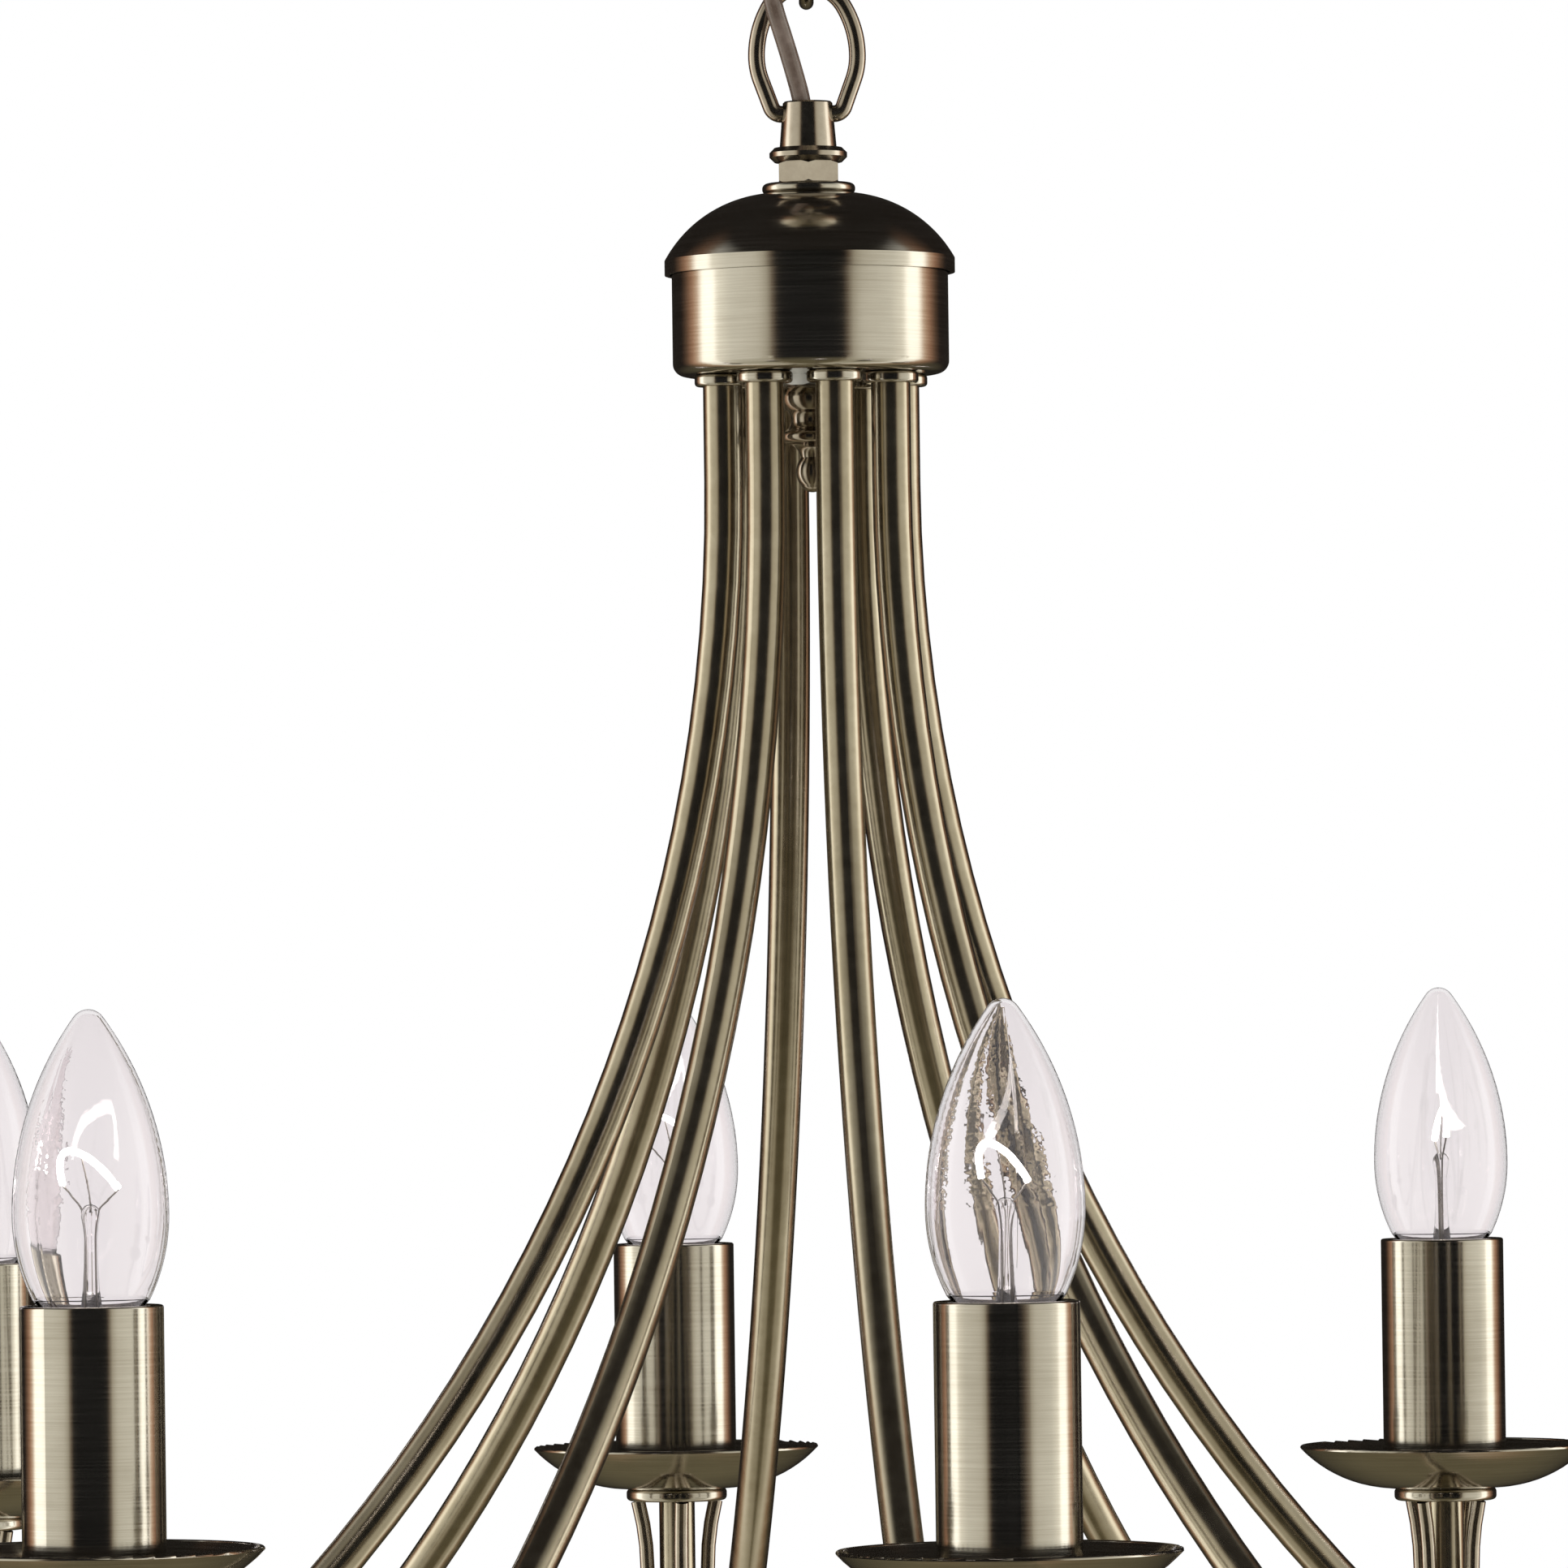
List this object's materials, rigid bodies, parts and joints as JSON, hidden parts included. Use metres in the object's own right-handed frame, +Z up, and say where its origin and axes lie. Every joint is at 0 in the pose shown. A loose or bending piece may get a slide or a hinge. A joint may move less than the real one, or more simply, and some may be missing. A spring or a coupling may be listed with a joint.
{
  "type": "multi arm chandelier",
  "caption": "Chandelier of slender tube arms with candle lamps and drip dishes, hung by a ring and short chain from a ceiling cup.",
  "frame": {"origin": "centre of the bracket on the ceiling plane", "axes": "+Z up, out of the bracket into the ceiling; the first lamp stands towards -Y, a little to +X"},
  "size_m": [0.6126, 0.6126, 0.6369],
  "materials": {
    "antique_brass": "antique, polished",
    "brushed_brass": "antique, brushed round",
    "satin_brass": "antique, satin along the tube",
    "zinc_steel": "zinc plated",
    "holder_plastic": "moulded",
    "wire_sheath": "plastic covered wire",
    "flex_sheath": "brown round flex",
    "bulb_glass": "clear",
    "bulb_cap": "nickel plated"
  },
  "bodies": {
    "ceiling_mount": {"ceiling_bracket": "zinc_steel", "ceiling_cup": "brushed_brass", "ceiling_nipple": "zinc_steel", "ceiling_locknuts": "zinc_steel", "ceiling_washer": "brushed_brass", "ceiling_hex_nut": "antique_brass", "ceiling_collar": "antique_brass", "ceiling_terminal_block": "holder_plastic", "flex": "flex_sheath"},
    "upper_ring": {"upper_ring": "antique_brass"},
    "chain_link_1": {"chain_link_1": "antique_brass"},
    "chain_link_2": {"chain_link_2": "antique_brass"},
    "chain_link_3": {"chain_link_3": "antique_brass"},
    "lower_ring": {"lower_ring": "antique_brass"},
    "light_body": {"body_collar": "antique_brass", "body_hex_nut": "antique_brass", "body_washer": "brushed_brass", "dome_cap": "brushed_brass", "body_cup": "brushed_brass", "arm_plate": "zinc_steel", "body_nipple": "zinc_steel", "body_locknuts": "zinc_steel", "body_terminal_block": "holder_plastic", "bottom_finial": "antique_brass", "arm_nuts": "zinc_steel", "arm_washers": "brushed_brass", "arm_wires": "wire_sheath", "cage_plates": "brushed_brass", "cage_rods": "antique_brass", "cage_collars": "antique_brass", "drip_dishes": "brushed_brass", "holder_nipples": "zinc_steel", "holder_nuts": "zinc_steel", "lampholders": "holder_plastic", "candle_sleeves": "brushed_brass", "arm_1": "satin_brass", "arm_2": "satin_brass", "arm_3": "satin_brass", "arm_4": "satin_brass", "arm_5": "satin_brass", "arm_6": "satin_brass", "arm_7": "satin_brass", "arm_8": "satin_brass"},
    "bulb_1": {"bulb_glass_1": "bulb_glass", "bulb_base_1": "bulb_cap"},
    "bulb_2": {"bulb_glass_2": "bulb_glass", "bulb_base_2": "bulb_cap"},
    "bulb_3": {"bulb_glass_3": "bulb_glass", "bulb_base_3": "bulb_cap"},
    "bulb_4": {"bulb_glass_4": "bulb_glass", "bulb_base_4": "bulb_cap"},
    "bulb_5": {"bulb_glass_5": "bulb_glass", "bulb_base_5": "bulb_cap"},
    "bulb_6": {"bulb_glass_6": "bulb_glass", "bulb_base_6": "bulb_cap"},
    "bulb_7": {"bulb_glass_7": "bulb_glass", "bulb_base_7": "bulb_cap"},
    "bulb_8": {"bulb_glass_8": "bulb_glass", "bulb_base_8": "bulb_cap"}
  },
  "joints": [
    {"name": "upper_ring_swing", "type": "hinge", "parent": "ceiling_mount", "child": "upper_ring", "pos_m": [0, 0, -0.0475], "axis": [1, 0, 0], "range_deg": [-60, 60], "deforming": ["flex"]},
    {"name": "link_1_swing", "type": "hinge", "parent": "upper_ring", "child": "chain_link_1", "pos_m": [0, 0, -0.0787], "axis": [1, 0, 0], "range_deg": [-45, 45]},
    {"name": "link_2_swing", "type": "hinge", "parent": "chain_link_1", "child": "chain_link_2", "pos_m": [0, 0, -0.11055], "axis": [0, 1, 0], "range_deg": [-45, 45]},
    {"name": "link_3_swing", "type": "hinge", "parent": "chain_link_2", "child": "chain_link_3", "pos_m": [0, 0, -0.14265], "axis": [1, 0, 0], "range_deg": [-45, 45]},
    {"name": "lower_ring_swing", "type": "hinge", "parent": "chain_link_3", "child": "lower_ring", "pos_m": [0, 0, -0.17475], "axis": [0, 1, 0], "range_deg": [-45, 45]},
    {"name": "body_swing", "type": "hinge", "parent": "lower_ring", "child": "light_body", "pos_m": [0, 0, -0.2018], "axis": [1, 0, 0], "range_deg": [-60, 60]},
    {"name": "bulb_1_out", "type": "slide", "parent": "light_body", "child": "bulb_1", "axis": [0, 0, 1], "range_m": [0, 0.045]},
    {"name": "bulb_2_out", "type": "slide", "parent": "light_body", "child": "bulb_2", "axis": [0, 0, 1], "range_m": [0, 0.045]},
    {"name": "bulb_3_out", "type": "slide", "parent": "light_body", "child": "bulb_3", "axis": [0, 0, 1], "range_m": [0, 0.045]},
    {"name": "bulb_4_out", "type": "slide", "parent": "light_body", "child": "bulb_4", "axis": [0, 0, 1], "range_m": [0, 0.045]},
    {"name": "bulb_5_out", "type": "slide", "parent": "light_body", "child": "bulb_5", "axis": [0, 0, 1], "range_m": [0, 0.045]},
    {"name": "bulb_6_out", "type": "slide", "parent": "light_body", "child": "bulb_6", "axis": [0, 0, 1], "range_m": [0, 0.045]},
    {"name": "bulb_7_out", "type": "slide", "parent": "light_body", "child": "bulb_7", "axis": [0, 0, 1], "range_m": [0, 0.045]},
    {"name": "bulb_8_out", "type": "slide", "parent": "light_body", "child": "bulb_8", "axis": [0, 0, 1], "range_m": [0, 0.045]}
  ]
}
